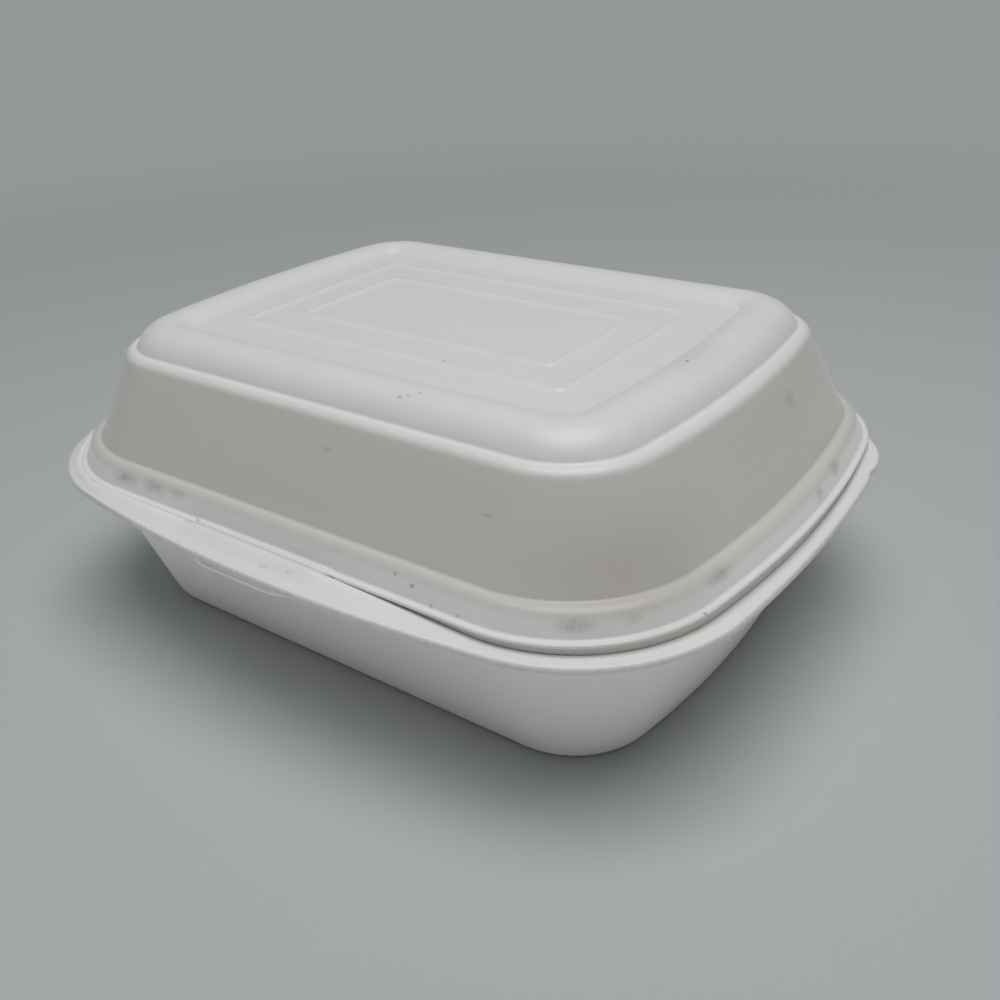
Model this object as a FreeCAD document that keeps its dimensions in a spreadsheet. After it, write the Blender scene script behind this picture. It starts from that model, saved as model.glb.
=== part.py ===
import FreeCAD, Part
import math
import os
import Sketcher

# Foam clamshell food container, closed: a deep tray and the lid that folds down onto it.
# Millimetres. X runs along the hinge, the opening side faces -Y, Z is up and the tray stands on Z = 0.
# X = 0 and Y = 0 are the middle of the whole container seen from above.

doc = FreeCAD.newDocument("FoamClamshell")
sheet = doc.addObject("Spreadsheet::Sheet", "Sizes")

# Every outline of the tray and the lid is a rectangle with round corners, straight long sides and
# short sides that are large arcs. It has a half length, a half width, a corner radius and a side radius.
SIZES = [
    # foam sheet
    ("foam_thickness", 1.8, "thickness of the formed walls"),
    ("hinge_gap", 0.4, "height of the crease left between tray rim and lid lip"),
    ("hinge_reach", 1.5, "lip of the lid to the hinge line"),
    ("hinge_half_length", 54.0, "half of the straight fold"),
    # rim of the tray
    ("tray_height", 39.5, "floor to the top of the rim"),
    ("rim_thickness", 1.6, "pressed edge of the tray"),
    ("rim_front_width", 7.7, "rim in front of the lid's lip, in the middle"),
    ("rim_end_width", 2.8, "rim beyond the lid's lip, in the middle of the short sides"),
    ("rim_back_step", 14.3, "back of the lid's lip to where the wide rim ends"),
    ("rim_front_radius", 355.0, "sweep of the front edge"),
    ("rim_side_radius", 350.0, "sweep of the short edges"),
    ("rim_front_corner", 40.0, "corner radius beside the opening edge"),
    ("rim_back_corner", 23.6, "corner radius where the wide rim ends"),
    # bowl of the tray
    ("collar_inset", 2.5, "collar inside the lid's lip"),
    ("collar_height", 7.6, "upright band under the rim's top"),
    ("collar_draft", 1.6, "how far the collar closes in downwards"),
    ("tray_ledge", 1.6, "width of the stacking ledge under the collar"),
    ("tray_wall_draft", 11.0, "how far the wall closes in downwards"),
    ("foot_round", 3.5, "rounding between wall and floor"),
    ("foot_ring_width", 12.0, "width of the ring that the tray stands on"),
    ("foot_ring_depth", 1.2, "how far the floor inside the ring is raised"),
    # lip and skirt of the lid
    ("lip_thickness", 0.9, "crimped edge of the lid"),
    ("lip_half_length", 90.9, "lid lip"),
    ("lip_half_width", 70.1, "lid lip"),
    ("lip_corner", 36.0, "lid lip corner radius"),
    ("lip_side_radius", 237.0, "sweep of the lip's short sides"),
    ("lip_width", 1.5, "flat of the lip outside the skirt"),
    ("skirt_height", 5.9, "underside of the lip to the lower ledge"),
    ("skirt_draft", 2.1, "how far the skirt closes in upwards"),
    # wall of the lid
    ("lower_ledge", 2.2, "width of the ledge above the skirt, long sides"),
    ("lower_ledge_end", 2.9, "width of the ledge above the skirt, short sides"),
    ("wall_side_radius", 251.0, "sweep of the wall's short sides at its foot"),
    ("wall_height", 21.0, "lower ledge to upper ledge"),
    ("wall_draft", 10.3, "how far the wall closes in upwards"),
    # ring and panel on top of the lid
    ("upper_ledge", 2.2, "width of the ledge round the ring, long sides"),
    ("upper_ledge_end", 2.9, "width of the ledge round the ring, short sides"),
    ("ring_corner", 17.0, "corner radius at the foot of the ring"),
    ("ring_side_radius", 280.0, "sweep of the ring's short sides"),
    ("ring_height", 5.3, "ring above the upper ledge"),
    ("ring_draft", 2.5, "how far the ring closes in upwards"),
    ("ring_round", 8.4, "rounding of the ring's outer shoulder"),
    ("ring_width", 13.2, "foot of the ring to the panel, long sides"),
    ("ring_width_end", 13.8, "foot of the ring to the panel, short sides"),
    ("panel_corner", 3.8, "sunk panel corner radius"),
    ("panel_sink", 1.75, "panel below the ring"),
    ("panel_slope", 2.5, "run of the slope from ring to panel"),
    ("panel_round", 8.0, "rounding of the ring's inner shoulder"),
    # embossed ribs on the panel
    ("rib_width", 1.1, "each rib"),
    ("rib_height", 0.35, "each rib"),
    ("outer_rib_half_length", 46.0, "middle line of the outer rib"),
    ("outer_rib_half_width", 27.9, "middle line of the outer rib"),
    ("inner_rib_half_length", 36.4, "middle line of the inner rib"),
    ("inner_rib_half_width", 17.1, "middle line of the inner rib"),
    # tuck lock
    ("lock_offset", -2.4, "middle of the lock, a little left of the middle"),
    ("lock_clearance", 0.3, "tongue to slit and tongue to rim"),
    ("tongue_thickness", 1.5, "foam of the tongue"),
    ("tongue_root_length", 40.0, "tongue where it leaves the lid"),
    ("tongue_tip_length", 27.0, "tongue at its tip"),
    ("tongue_blade", 6.9, "part of the tongue that reaches forward under the rim"),
    ("tongue_tip_round", 4.0, "corners of the tip"),
    ("slot_play", 2.0, "slit longer than the tongue's root at each end"),
    ("strip_lift", 1.5, "how far the slit's outer edge is pushed up over the lid"),
    ("strip_width", 5.2, "part of the rim that is pushed up"),
]
for row, (alias, size, meaning) in enumerate(SIZES, start=1):
    sheet.set("A%d" % row, meaning)
    sheet.set("B%d" % row, str(size))
    sheet.setAlias("B%d" % row, alias)
doc.recompute()


def size(expression):
    """Value of an expression in the sheet's words."""
    return float(sheet.evalExpression(expression))


RIM_FRONT = "(Sizes.lip_half_width + Sizes.rim_front_width)"
RIM_BACK = "(Sizes.lip_half_width - Sizes.rim_back_step)"
RIM_HALF_LENGTH = "(Sizes.lip_half_length + Sizes.rim_end_width)"
HINGE_BACK = "(Sizes.lip_half_width + Sizes.hinge_reach)"
TONGUE_TIP = "(Sizes.lip_half_width + Sizes.tongue_blade)"
# Middle of tray and lid along Y: the rim reaches further forward than the hinge reaches back.
MIDDLE_Y = "(%s - %s) / 2" % (RIM_FRONT, HINGE_BACK)
LID_LEVEL = "(Sizes.tray_height + Sizes.hinge_gap)"
FOAM = "Sizes.foam_thickness"
# Two places closer than this are the same place.
NEAR = 0.01


class Outline:
    """A round-cornered rectangle with arcs for short sides, each of its four sizes an expression."""

    def __init__(self, half_length, half_width, corner, side_radius):
        self.half_length = half_length
        self.half_width = half_width
        self.corner = corner
        self.side_radius = side_radius

    def inset(self, distance):
        """The outline moved inwards by a distance, all the way round."""
        return Outline(
            "(%s - %s)" % (self.half_length, distance),
            "(%s - %s)" % (self.half_width, distance),
            "(%s - %s)" % (self.corner, distance),
            "(%s - %s)" % (self.side_radius, distance),
        )


def plane(body, role):
    """One of a body's own origin planes."""
    return next(feature for feature in body.Origin.OriginFeatures if feature.Role == role)


def new_body(name):
    """A body with its name as label."""
    body = doc.addObject("PartDesign::Body", name)
    body.Label = name
    return body


def new_sketch(body, name, role="XY_Plane", offset="0"):
    """A sketch on an origin plane, raised by an expression along the plane's normal."""
    sketch = body.newObject("Sketcher::SketchObject", name)
    sketch.AttachmentSupport = [(plane(body, role), "")]
    sketch.MapMode = "FlatFace"
    sketch.setExpression(".AttachmentOffset.Base.z", offset)
    return sketch


def datum(sketch, kind, places, expression):
    """A driving dimension that follows an expression."""
    index = sketch.addConstraint(Sketcher.Constraint(kind, *places, size(expression)))
    sketch.setExpression("Constraints[%d]" % index, expression)


def arc(centre, radius, start, end):
    """An arc between two angles in degrees, anticlockwise."""
    circle = Part.Circle(FreeCAD.Vector(centre[0], centre[1], 0), FreeCAD.Vector(0, 0, 1), radius)
    return Part.ArcOfCircle(circle, math.radians(start), math.radians(end))


def join_tangent(sketch, first, count):
    """Ties each curve's end to the next one's start, in line with it, right round the loop."""
    for index in range(count):
        here, following = first + index, first + (index + 1) % count
        sketch.addConstraint(Sketcher.Constraint("Tangent", here, 2, following, 1))


def add_outline(sketch, outline):
    """Draws one outline in a sketch, all its sizes driven by expressions."""
    length, width = size(outline.half_length), size(outline.half_width)
    corner, side = size(outline.corner), size(outline.side_radius)
    side_x = length - side
    corner_y = width - corner
    corner_x = side_x + math.sqrt((side - corner) ** 2 - corner_y**2)
    turn = math.degrees(math.atan2(corner_y, corner_x - side_x))
    first = sketch.GeometryCount
    front, back = first, first + 4
    corners = [first + place for place in (1, 3, 5, 7)]
    right, left = first + 2, first + 6
    sketch.addGeometry(
        [
            Part.LineSegment(FreeCAD.Vector(-corner_x, -width, 0), FreeCAD.Vector(corner_x, -width, 0)),
            arc((corner_x, -corner_y), corner, 270, 360 - turn),
            arc((side_x, 0), side, -turn, turn),
            arc((corner_x, corner_y), corner, turn, 90),
            Part.LineSegment(FreeCAD.Vector(corner_x, width, 0), FreeCAD.Vector(-corner_x, width, 0)),
            arc((-corner_x, corner_y), corner, 90, 180 - turn),
            arc((-side_x, 0), side, 180 - turn, 180 + turn),
            arc((-corner_x, -corner_y), corner, 180 + turn, 270),
        ],
        False,
    )
    join_tangent(sketch, first, 8)
    sketch.addConstraint(Sketcher.Constraint("Symmetric", front, 1, front, 2, -2))
    sketch.addConstraint(Sketcher.Constraint("Symmetric", front, 2, back, 1, -1))
    sketch.addConstraint(Sketcher.Constraint("Symmetric", back, 1, back, 2, -2))
    for other in corners[1:]:
        sketch.addConstraint(Sketcher.Constraint("Equal", corners[0], other))
    sketch.addConstraint(Sketcher.Constraint("Equal", right, left))
    datum(sketch, "Radius", (corners[0],), outline.corner)
    datum(sketch, "Radius", (right,), outline.side_radius)
    datum(sketch, "DistanceY", (front, 1, -1, 1), outline.half_width)
    datum(sketch, "DistanceX", (right, 3, -1, 1), "%s - %s" % (outline.side_radius, outline.half_length))


def outline_sketch(body, name, height, *outlines):
    """Sketch of one outline at a height, or of a frame between two."""
    sketch = new_sketch(body, name, offset=height)
    for outline in outlines:
        add_outline(sketch, outline)
    return sketch


def polygon(sketch, corners):
    """A closed polygon whose corners are pairs of expressions."""
    points = [FreeCAD.Vector(size(across), size(along), 0) for across, along in corners]
    first = sketch.GeometryCount
    count = len(points)
    for index in range(count):
        sketch.addGeometry(Part.LineSegment(points[index], points[(index + 1) % count]), False)
    for index in range(count):
        here, following = first + index, first + (index + 1) % count
        sketch.addConstraint(Sketcher.Constraint("Coincident", here, 2, following, 1))
    for index, (across, along) in enumerate(corners):
        datum(sketch, "DistanceX", (-1, 1, first + index, 1), across)
        datum(sketch, "DistanceY", (-1, 1, first + index, 1), along)


def box_corners(left, right, low, high):
    """Corners of an upright rectangle."""
    return [(left, low), (right, low), (right, high), (left, high)]


def pad(body, name, sketch, length):
    """A straight pad upwards."""
    feature = body.newObject("PartDesign::Pad", name)
    feature.Profile = sketch
    feature.setExpression("Length", length)
    return feature


def pocket(body, name, sketch, length, reversed_cut=False):
    """A straight cut downwards, or upwards if reversed."""
    feature = body.newObject("PartDesign::Pocket", name)
    feature.Profile = sketch
    feature.Reversed = reversed_cut
    feature.setExpression("Length", length)
    return feature


def level_plane(body, name, level):
    """A datum plane at a height."""
    datum_plane = body.newObject("PartDesign::Plane", name)
    datum_plane.AttachmentSupport = [(plane(body, "XY_Plane"), "")]
    datum_plane.MapMode = "FlatFace"
    datum_plane.setExpression(".AttachmentOffset.Base.z", level)
    return datum_plane


def slope_walls(body, name, low, high, run, opens_upwards=False):
    """Tilts every upright wall between two levels by a run over its height, about its lower edge."""
    doc.recompute()
    base = body.Tip
    bottom, top = size(low), size(high)
    names = [
        "Face%d" % index
        for index, face in enumerate(base.Shape.Faces, start=1)
        if abs(face.BoundBox.ZMin - bottom) < NEAR and abs(face.BoundBox.ZMax - top) < NEAR
    ]
    feature = body.newObject("PartDesign::Draft", name)
    feature.Base = (base, names)
    feature.NeutralPlane = (level_plane(body, name + "_plane", low), [""])
    feature.Reversed = opens_upwards
    feature.setExpression("Angle", "atan((%s) / (%s - %s))" % (run, high, low))
    return feature


def storey(body, name, outline, low, high, run, opens_upwards=False):
    """A stretch of wall that stands on an outline and leans by a run over its height."""
    sketch = outline_sketch(body, name + "_outline", low, outline)
    pad(body, name + "_block", sketch, "%s - %s" % (high, low))
    slope_walls(body, name, low, high, run, opens_upwards)


def hollow_out(body, name, level):
    """Leaves a shell of foam, open at the flat face that lies at a level."""
    doc.recompute()
    base = body.Tip
    open_level = size(level)
    faces = [
        (face.Area, "Face%d" % index)
        for index, face in enumerate(base.Shape.Faces, start=1)
        if abs(face.BoundBox.ZMin - open_level) < NEAR and abs(face.BoundBox.ZMax - open_level) < NEAR
    ]
    feature = body.newObject("PartDesign::Thickness", name)
    feature.Base = (base, [max(faces)[1]])
    feature.Reversed = True
    feature.Join = "Intersection"
    feature.setExpression("Value", FOAM)
    return feature


def round_loop(body, name, outline, level, radius):
    """Rounds the whole loop of edges that follows an outline at a level."""
    doc.recompute()
    base = body.Tip
    height, reach = size(level), size(outline.half_width)
    names = []
    for index, edge in enumerate(base.Shape.Edges, start=1):
        box = edge.BoundBox
        flat = abs(box.ZMin - height) < NEAR and abs(box.ZMax - height) < NEAR
        straight_side = abs(abs(box.YMin) - reach) < NEAR and abs(abs(box.YMax) - reach) < NEAR
        if flat and straight_side:
            names.append("Edge%d" % index)
    feature = body.newObject("PartDesign::Fillet", name)
    feature.Base = (base, names)
    feature.setExpression("Radius", radius)
    return feature


# Lid, from its lip inwards and up
LIP = Outline(
    "Sizes.lip_half_length", "Sizes.lip_half_width", "Sizes.lip_corner", "Sizes.lip_side_radius"
)
SKIRT = LIP.inset("Sizes.lip_width")
SKIRT_TOP = SKIRT.inset("Sizes.skirt_draft")
LID_WALL = Outline(
    "(%s - Sizes.lower_ledge_end)" % SKIRT_TOP.half_length,
    "(%s - Sizes.lower_ledge)" % SKIRT_TOP.half_width,
    "(%s - Sizes.lower_ledge)" % SKIRT_TOP.corner,
    "Sizes.wall_side_radius",
)
LID_WALL_TOP = LID_WALL.inset("Sizes.wall_draft")
RING = Outline(
    "(%s - Sizes.upper_ledge_end)" % LID_WALL_TOP.half_length,
    "(%s - Sizes.upper_ledge)" % LID_WALL_TOP.half_width,
    "Sizes.ring_corner",
    "Sizes.ring_side_radius",
)
RING_TOP = RING.inset("Sizes.ring_draft")
PANEL = Outline(
    "(%s - Sizes.ring_width_end)" % RING.half_length,
    "(%s - Sizes.ring_width)" % RING.half_width,
    "Sizes.panel_corner",
    "Sizes.ring_side_radius",
)
PANEL_EDGE = PANEL.inset("(0 - Sizes.panel_slope)")
WALL_TOP = "(Sizes.skirt_height + Sizes.wall_height)"
RING_LEVEL = "(%s + Sizes.ring_height)" % WALL_TOP
PANEL_LEVEL = "(%s - Sizes.panel_sink)" % RING_LEVEL

# Tray, from its mouth inwards and down
COLLAR = LIP.inset("Sizes.collar_inset")
COLLAR_FOOT = COLLAR.inset("Sizes.collar_draft")
TRAY_WALL_TOP = COLLAR_FOOT.inset("Sizes.tray_ledge")
FOOT = TRAY_WALL_TOP.inset("Sizes.tray_wall_draft")
RIM_TOP = "Sizes.tray_height"
RIM_UNDER = "(Sizes.tray_height - Sizes.rim_thickness)"
COLLAR_UNDER = "(Sizes.tray_height - Sizes.collar_height)"

# Ends of the lock along X, and its slit along Y in the tray's own frame
HALF_SLOT = "(Sizes.tongue_root_length / 2 + Sizes.slot_play)"
LOCK_LEFT = "Sizes.lock_offset - " + HALF_SLOT
LOCK_RIGHT = "Sizes.lock_offset + " + HALF_SLOT
WEB_OUTER = "Sizes.lip_half_width"
WEB_INNER = "(Sizes.lip_half_width - Sizes.tongue_thickness)"
SLOT_OUTER = "(%s + Sizes.lock_clearance)" % WEB_OUTER
SLOT_INNER = "(%s - Sizes.lock_clearance)" % WEB_INNER
STRIP_OUTER = "(%s + Sizes.strip_width)" % SLOT_OUTER


def rim_outline(body, height, mouth):
    """Wide rim: bowed front and short edges, large front corners, straight behind."""
    sketch = new_sketch(body, "rim_outline", offset=height)
    front, front_radius = size(RIM_FRONT), size("Sizes.rim_front_radius")
    side, length = size("Sizes.rim_side_radius"), size(RIM_HALF_LENGTH)
    near, far = size("Sizes.rim_front_corner"), size("Sizes.rim_back_corner")
    back = size(RIM_BACK)
    front_y = front_radius - front
    side_x = length - side
    # The near corner touches both large arcs from inside.
    span = math.hypot(side_x, front_y)
    from_front, from_side = front_radius - near, side - near
    along = (from_front**2 - from_side**2 + span**2) / (2 * span)
    across = math.sqrt(from_front**2 - along**2)
    way_x, way_y = side_x / span, -front_y / span
    near_x = way_x * along - way_y * across
    near_y = front_y + way_y * along + way_x * across
    if near_x < 0:
        near_x = way_x * along + way_y * across
        near_y = front_y + way_y * along - way_x * across
    far_y = back - far
    far_x = side_x + math.sqrt((side - far) ** 2 - far_y**2)
    front_turn = math.degrees(math.atan2(near_y - front_y, near_x)) + 360
    side_start = math.degrees(math.atan2(near_y, near_x - side_x))
    side_end = math.degrees(math.atan2(far_y, far_x - side_x))
    sketch.addGeometry(
        [
            arc((0, front_y), front_radius, 540 - front_turn, front_turn),
            arc((near_x, near_y), near, front_turn, 360 + side_start),
            arc((side_x, 0), side, side_start, side_end),
            arc((far_x, far_y), far, side_end, 90),
            Part.LineSegment(FreeCAD.Vector(far_x, back, 0), FreeCAD.Vector(-far_x, back, 0)),
            arc((-far_x, far_y), far, 90, 180 - side_end),
            arc((-side_x, 0), side, 180 - side_end, 180 - side_start),
            arc((-near_x, near_y), near, 180 - side_start, 540 - front_turn),
        ],
        False,
    )
    join_tangent(sketch, 0, 8)
    sketch.addConstraint(Sketcher.Constraint("PointOnObject", 0, 3, -2))
    sketch.addConstraint(Sketcher.Constraint("Horizontal", 4))
    sketch.addConstraint(Sketcher.Constraint("Symmetric", 2, 3, 6, 3, -2))
    for first, second in ((1, 7), (2, 6), (3, 5)):
        sketch.addConstraint(Sketcher.Constraint("Equal", first, second))
    sketch.addConstraint(Sketcher.Constraint("PointOnObject", 2, 3, -1))
    datum(sketch, "Radius", (0,), "Sizes.rim_front_radius")
    datum(sketch, "Radius", (1,), "Sizes.rim_front_corner")
    datum(sketch, "Radius", (2,), "Sizes.rim_side_radius")
    datum(sketch, "Radius", (3,), "Sizes.rim_back_corner")
    datum(sketch, "DistanceY", (-1, 1, 0, 3), "Sizes.rim_front_radius - " + RIM_FRONT)
    datum(sketch, "DistanceX", (2, 3, -1, 1), "Sizes.rim_side_radius - " + RIM_HALF_LENGTH)
    datum(sketch, "DistanceY", (-1, 1, 4, 1), RIM_BACK)
    add_outline(sketch, mouth)
    return sketch


def hinge_edge(body, level, thickness):
    """Straight strip along the back that ends in the hinge line."""
    sketch = new_sketch(body, "hinge_edge_outline", offset=level)
    polygon(
        sketch,
        box_corners(
            "0 - Sizes.hinge_half_length",
            "Sizes.hinge_half_length",
            "Sizes.lip_half_width - Sizes.lip_width",
            HINGE_BACK,
        ),
    )
    return pad(body, "hinge_edge", sketch, thickness)


def make_tray():
    """Deep tray: rim with slit and raised strip, collar, tapered wall and floor on a foot ring."""
    body = new_body("tray")
    storey(body, "wall", FOOT, "0", COLLAR_UNDER, "Sizes.tray_wall_draft", opens_upwards=True)
    storey(body, "collar", COLLAR_FOOT, COLLAR_UNDER, RIM_TOP, "Sizes.collar_draft", opens_upwards=True)
    recess = outline_sketch(body, "foot_recess_outline", "0", FOOT.inset("Sizes.foot_ring_width"))
    pocket(body, "foot_recess", recess, "Sizes.foot_ring_depth", reversed_cut=True)
    hollow_out(body, "bowl", RIM_TOP)
    # Rounded after the hollow: the sheet is drawn thinner round the foot, as forming leaves it.
    round_loop(body, "foot_round", FOOT, "0", "Sizes.foot_round")

    mouth = COLLAR.inset("(%s / 2)" % FOAM)
    pad(body, "rim", rim_outline(body, RIM_UNDER, mouth), "Sizes.rim_thickness")
    behind = outline_sketch(body, "rim_behind_outline", RIM_UNDER, LIP, mouth)
    pad(body, "rim_behind", behind, "Sizes.rim_thickness")
    hinge_edge(body, RIM_UNDER, "Sizes.rim_thickness")

    slit = new_sketch(body, "slit_outline", offset="Sizes.tray_height")
    polygon(slit, box_corners(LOCK_LEFT, LOCK_RIGHT, "0 - " + STRIP_OUTER, "0 - " + SLOT_INNER))
    pocket(body, "slit", slit, "Sizes.rim_thickness")
    make_strip(body, RIM_UNDER)
    body.setExpression(".Placement.Base.y", MIDDLE_Y)
    return body


def make_strip(body, rim_under):
    """Strip of rim in front of the slit, pushed up in its middle by the lid's tongue."""
    sections = []
    middle = "Sizes.lock_offset"
    for name, place, lift in (
        ("strip_left", LOCK_LEFT, "0"),
        ("strip_middle", middle, "Sizes.strip_lift"),
        ("strip_right", LOCK_RIGHT, "0"),
    ):
        sketch = new_sketch(body, name, role="YZ_Plane", offset=place)
        polygon(
            sketch,
            [
                ("0 - " + STRIP_OUTER, rim_under),
                ("0 - " + SLOT_OUTER, "%s + %s" % (rim_under, lift)),
                ("0 - " + SLOT_OUTER, "Sizes.tray_height + %s" % lift),
                ("0 - " + STRIP_OUTER, "Sizes.tray_height"),
            ],
        )
        sections.append(sketch)
    feature = body.newObject("PartDesign::AdditiveLoft", "strip")
    feature.Profile = sections[0]
    feature.Sections = sections[1:]
    return feature


def rib(body, name, half_length, half_width, level):
    """One embossed rectangle on the panel."""
    half = "Sizes.rib_width / 2"
    sketch = new_sketch(body, name + "_outline", offset=level)
    for sign in ("+", "-"):
        reach_x = "(%s %s %s)" % (half_length, sign, half)
        reach_y = "(%s %s %s)" % (half_width, sign, half)
        polygon(sketch, box_corners("0 - " + reach_x, reach_x, "0 - " + reach_y, reach_y))
    return pad(body, name, sketch, "Sizes.rib_height")


def make_tongue(body):
    """Tongue that drops through the slit and reaches forward under the rim."""
    blade_top = "(Sizes.hinge_gap + Sizes.rim_thickness + Sizes.lock_clearance)"
    blade_under = "(%s + Sizes.tongue_thickness)" % blade_top
    middle = "Sizes.lock_offset"
    root, tip = "Sizes.tongue_root_length / 2", "Sizes.tongue_tip_length / 2"
    web = new_sketch(body, "web_outline", offset="0 - " + blade_under)
    polygon(
        web,
        box_corners(
            "%s - %s" % (middle, root), "%s + %s" % (middle, root), "0 - " + WEB_OUTER, "0 - " + WEB_INNER
        ),
    )
    pad(body, "web", web, blade_under)
    blade = new_sketch(body, "blade_outline", offset="0 - " + blade_under)
    polygon(
        blade,
        [
            ("%s - %s" % (middle, tip), "0 - " + TONGUE_TIP),
            ("%s + %s" % (middle, tip), "0 - " + TONGUE_TIP),
            ("%s + %s" % (middle, root), "0 - " + WEB_OUTER),
            ("%s - %s" % (middle, root), "0 - " + WEB_OUTER),
        ],
    )
    pad(body, "blade", blade, "Sizes.tongue_thickness")
    doc.recompute()
    base = body.Tip
    reach = size(TONGUE_TIP)
    tips = []
    for index, edge in enumerate(base.Shape.Edges, start=1):
        box = edge.BoundBox
        at_tip = abs(box.YMin + reach) < NEAR and abs(box.YMax + reach) < NEAR
        if at_tip and box.XLength < NEAR:
            tips.append("Edge%d" % index)
    feature = body.newObject("PartDesign::Fillet", "tip_round")
    feature.Base = (base, tips)
    feature.setExpression("Radius", "Sizes.tongue_tip_round")


def make_lid():
    """Lid: lip, skirt, tapered wall, round ring about a sunk panel, ribs and tongue."""
    body = new_body("lid")
    storey(body, "skirt", SKIRT, "0", "Sizes.skirt_height", "Sizes.skirt_draft")
    storey(body, "wall", LID_WALL, "Sizes.skirt_height", WALL_TOP, "Sizes.wall_draft")
    storey(body, "ring", RING, WALL_TOP, RING_LEVEL, "Sizes.ring_draft")
    recess = outline_sketch(body, "panel_outline", RING_LEVEL, PANEL)
    pocket(body, "panel_block", recess, "Sizes.panel_sink")
    slope_walls(body, "panel", PANEL_LEVEL, RING_LEVEL, "Sizes.panel_slope")
    round_loop(body, "ring_round", RING_TOP, RING_LEVEL, "Sizes.ring_round")
    round_loop(body, "panel_round", PANEL_EDGE, RING_LEVEL, "Sizes.panel_round")
    hollow_out(body, "inside", "0")

    frame = outline_sketch(body, "lip_outline", "0", LIP, SKIRT.inset("(%s / 2)" % FOAM))
    pad(body, "lip", frame, "Sizes.lip_thickness")
    hinge_edge(body, "0", "Sizes.lip_thickness")
    rib(body, "outer_rib", "Sizes.outer_rib_half_length", "Sizes.outer_rib_half_width", PANEL_LEVEL)
    rib(body, "inner_rib", "Sizes.inner_rib_half_length", "Sizes.inner_rib_half_width", PANEL_LEVEL)
    make_tongue(body)
    body.setExpression(".Placement.Base.y", MIDDLE_Y)
    body.setExpression(".Placement.Base.z", LID_LEVEL)
    return body


bodies = [make_tray(), make_lid()]
doc.recompute()

for item in doc.Objects:
    if "Invalid" in item.State or "Error" in item.State:
        raise RuntimeError("%s failed: %s" % (item.Name, item.State))

os.makedirs("parts", exist_ok=True)
for body in bodies:
    shape = body.Shape
    if shape.isNull() or not shape.isValid():
        raise RuntimeError("%s has no valid shape" % body.Label)
    if len(shape.Solids) != 1:
        raise RuntimeError("%s is %d solids" % (body.Label, len(shape.Solids)))
    shape.exportStep("parts/%s.step" % body.Label)
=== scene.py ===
"""Looks of a closed foam clamshell food container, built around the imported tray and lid.

The container is one sheet of thermoformed polystyrene foam: a tray, a lid that folds down onto it and a
tuck lock in front. Lengths in the classes are millimetres, in the frame of the CAD model: X along the
hinge, the opening side towards -Y, Z up from the floor.
"""

import logging
import math
from dataclasses import dataclass
from enum import Enum

import bpy
import numpy as np
from mathutils import Matrix, Vector

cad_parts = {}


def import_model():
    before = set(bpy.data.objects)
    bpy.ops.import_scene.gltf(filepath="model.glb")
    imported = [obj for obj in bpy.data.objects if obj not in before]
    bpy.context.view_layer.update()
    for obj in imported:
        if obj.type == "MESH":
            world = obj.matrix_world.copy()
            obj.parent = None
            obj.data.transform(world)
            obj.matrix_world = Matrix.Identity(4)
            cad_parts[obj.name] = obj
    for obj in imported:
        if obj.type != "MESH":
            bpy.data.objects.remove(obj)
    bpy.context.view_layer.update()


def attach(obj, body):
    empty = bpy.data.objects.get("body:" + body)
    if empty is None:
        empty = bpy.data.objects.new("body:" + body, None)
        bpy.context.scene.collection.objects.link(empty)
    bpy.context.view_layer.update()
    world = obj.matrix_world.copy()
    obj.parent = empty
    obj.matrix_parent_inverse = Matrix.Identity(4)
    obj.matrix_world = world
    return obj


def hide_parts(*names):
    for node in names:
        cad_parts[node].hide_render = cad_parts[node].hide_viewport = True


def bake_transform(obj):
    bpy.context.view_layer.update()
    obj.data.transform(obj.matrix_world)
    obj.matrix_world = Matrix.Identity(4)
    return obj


LOG = logging.getLogger("foam_container")
MM = 0.001

# The middle of tray and lid lies a little behind the middle of the whole container.
MIDDLE_Y = 3.1
# Heights of the tray's rim, and of the underside of the lid's lip on it.
RIM_TOP = 39.5
RIM_UNDER = 37.9
LID_LEVEL = 39.9
# Thickness of the sheet in walls, floor and panel.
WALL_FOAM = 1.8
# A sweep this large makes the short sides of an outline look straight.
STRAIGHT = 4000.0
# Where the gap under the lid opens, as parts of the lip's half length and half width, and how much of it
# is lost towards the back.
GAP_ALONG = (-0.05, 0.95)
GAP_ACROSS = (-0.2, 0.9)
GAP_LOSS = 0.75
# Where the lip stops lying on the rim, as parts of its half length.
SEAT_ALONG = (0.23, 0.62)

Place = tuple[float, float, float]
Pair = tuple[float, float]
Points = tuple[Pair, ...]


class Finish(Enum):
    """Finish of a shell's face, as the number of its material."""

    SKIN = 0
    CUT = 1


def linear_colour(hex_colour: str) -> tuple[float, float, float, float]:
    """Turns an sRGB hex colour into linear values.

    Args:
        hex_colour: six hex digits, such as "F2F1EE".

    Returns:
        Linear red, green, blue and an alpha of 1.
    """
    channels = [int(hex_colour[place : place + 2], 16) / 255 for place in (0, 2, 4)]
    linear = [c / 12.92 if c <= 0.04045 else ((c + 0.055) / 1.055) ** 2.4 for c in channels]
    return (linear[0], linear[1], linear[2], 1.0)


# Outlines and sections


def arc(
    x: float, y: float, radius: float, start: float, end: float, steps: int, ended: bool = False
) -> np.ndarray:
    """Points on an arc.

    Args:
        x: its middle along X.
        y: its middle along Y.
        radius: its radius.
        start: angle where it starts, in radians.
        end: angle where it ends.
        steps: how many points.
        ended: whether the last of them lies at the end.

    Returns:
        An array of X and Y.
    """
    angle = np.linspace(start, end, steps, endpoint=ended)
    return np.stack([x + radius * np.cos(angle), y + radius * np.sin(angle)], axis=1)


def ways_and_normals(steps: np.ndarray) -> tuple[np.ndarray, np.ndarray]:
    """Makes steps in a plane one long, and turns them a quarter left for their normals."""
    ways = steps / np.linalg.norm(steps, axis=1)[:, None]
    return ways, np.stack([-ways[:, 1], ways[:, 0]], axis=1)


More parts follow.
